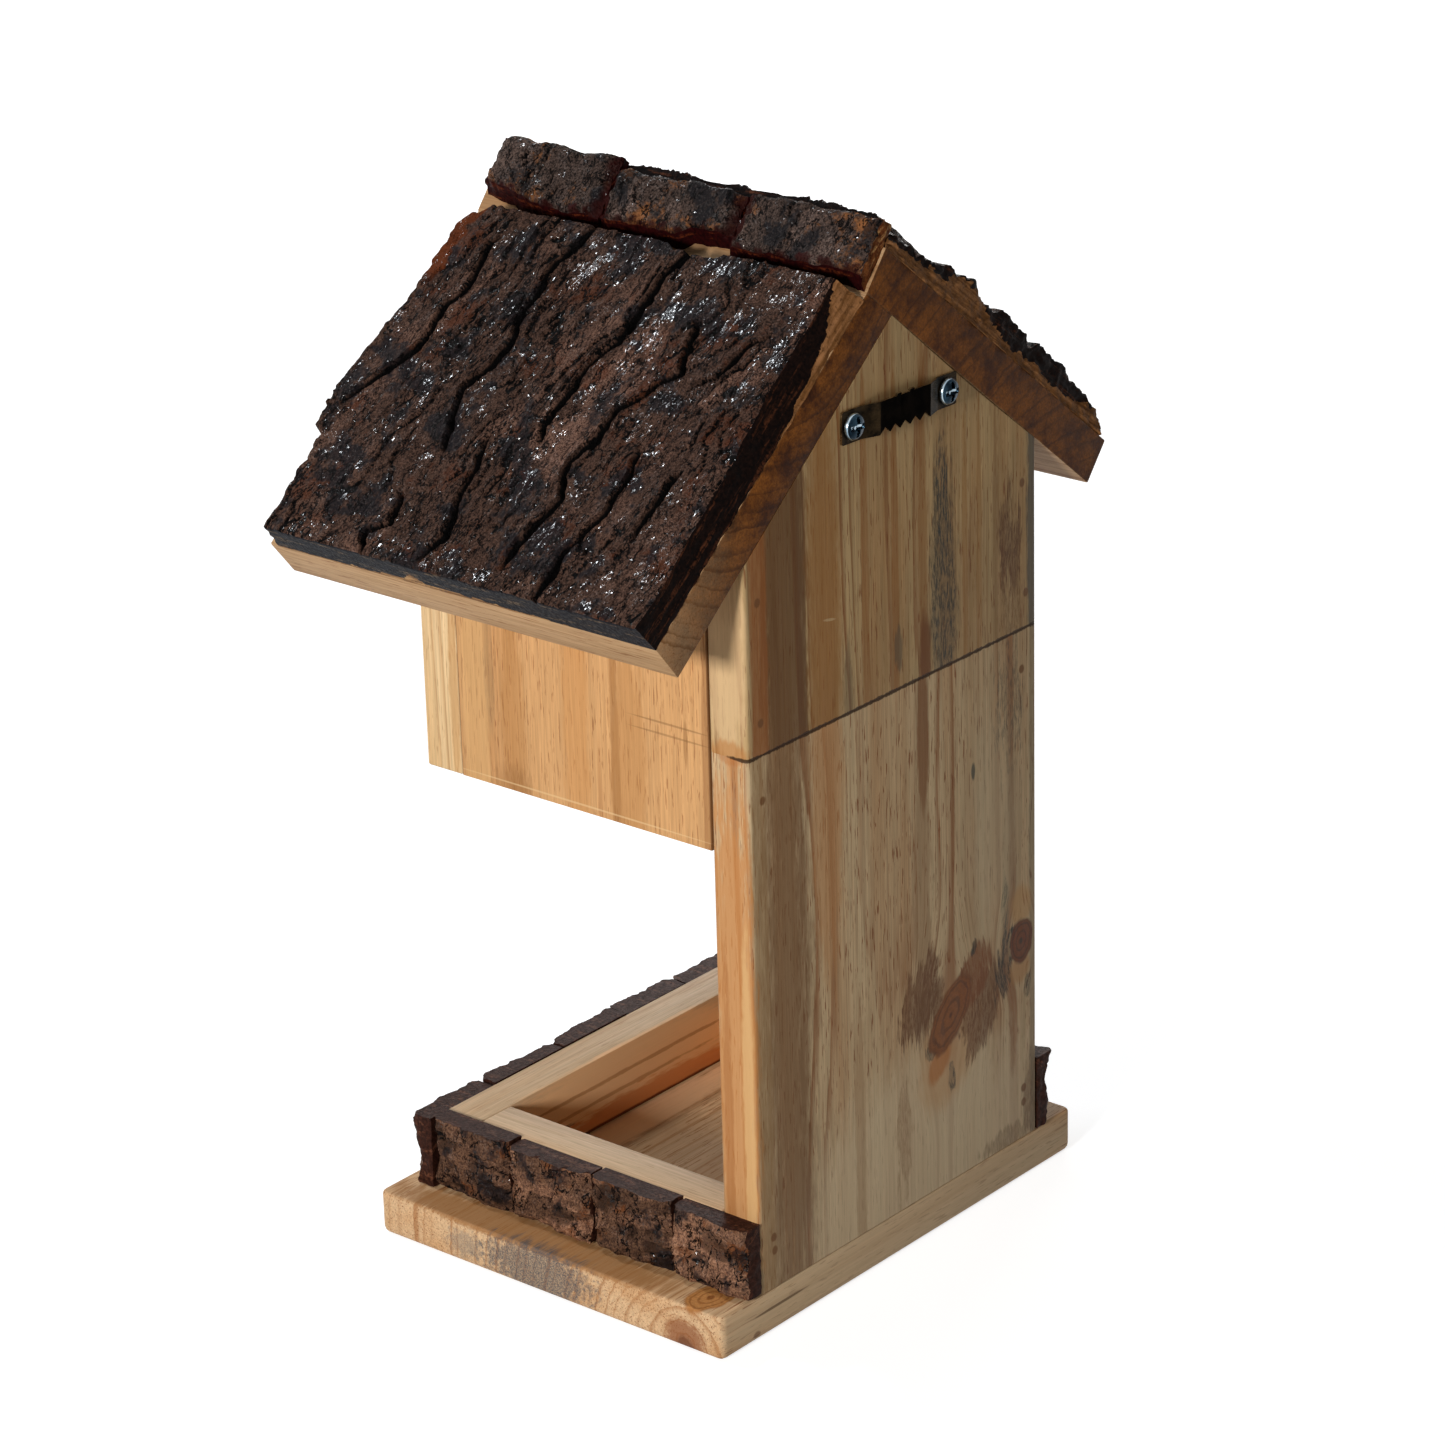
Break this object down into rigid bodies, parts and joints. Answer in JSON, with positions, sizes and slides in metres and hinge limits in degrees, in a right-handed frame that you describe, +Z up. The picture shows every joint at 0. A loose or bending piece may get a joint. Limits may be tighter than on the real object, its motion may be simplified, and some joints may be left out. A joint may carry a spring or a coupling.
{
  "type": "bird feeder",
  "caption": "Pine bird feeder: gabled hood on a tall back board over an open seed tray, with bark slabs on the roof, bark round the tray and a sawtooth hanger behind.",
  "frame": {"origin": "centre of the base board's underside", "axes": "+Z up, +Y out of the back board towards the wall it hangs on, -Y towards the open front, +X to the right seen from the front"},
  "size_m": [0.2166, 0.1516, 0.3264],
  "materials": {
    "planed_pine": "planed pine under clear varnish, vertical grain, knots and blue stain",
    "roof_pine": "varnished pine, dark end grain at the gable ends",
    "roof_bark": "rough pine bark under glossy varnish",
    "ridge_bark": "rough bark with red inner edges under glossy varnish",
    "tray_bark": "sawn bark pieces with rough outer faces",
    "hanger_steel": "bright plated strip steel",
    "screw_zinc": "blue-white zinc plating",
    "pin_steel": "plain steel under brown filler"
  },
  "bodies": {
    "root": {"base_board": "planed_pine", "back_lower_board": "planed_pine", "back_gable_board": "planed_pine", "front_gable_board": "planed_pine", "side_panel_right": "planed_pine", "side_panel_left": "planed_pine", "tray_front_rail": "planed_pine", "tray_rail_right": "planed_pine", "tray_rail_left": "planed_pine", "roof_board_right": "roof_pine", "roof_board_left": "roof_pine", "roof_bark_right": "roof_bark", "roof_bark_left": "roof_bark", "ridge_bark_front": "ridge_bark", "ridge_bark_middle": "ridge_bark", "ridge_bark_rear": "ridge_bark", "tray_bark_right_1": "tray_bark", "tray_bark_right_2": "tray_bark", "tray_bark_right_3": "tray_bark", "tray_bark_right_4": "tray_bark", "tray_bark_left_1": "tray_bark", "tray_bark_left_2": "tray_bark", "tray_bark_left_3": "tray_bark", "tray_bark_left_4": "tray_bark", "tray_bark_front_1": "tray_bark", "tray_bark_front_2": "tray_bark", "tray_bark_front_3": "tray_bark", "tray_bark_front_4": "tray_bark", "tray_bark_front_5": "tray_bark", "sawtooth_hanger": "hanger_steel", "hanger_screws": "screw_zinc", "back_pins": "pin_steel", "front_pins": "pin_steel", "tray_pins": "pin_steel", "base_nails": "pin_steel", "roof_nails": "pin_steel"}
  },
  "joints": []
}
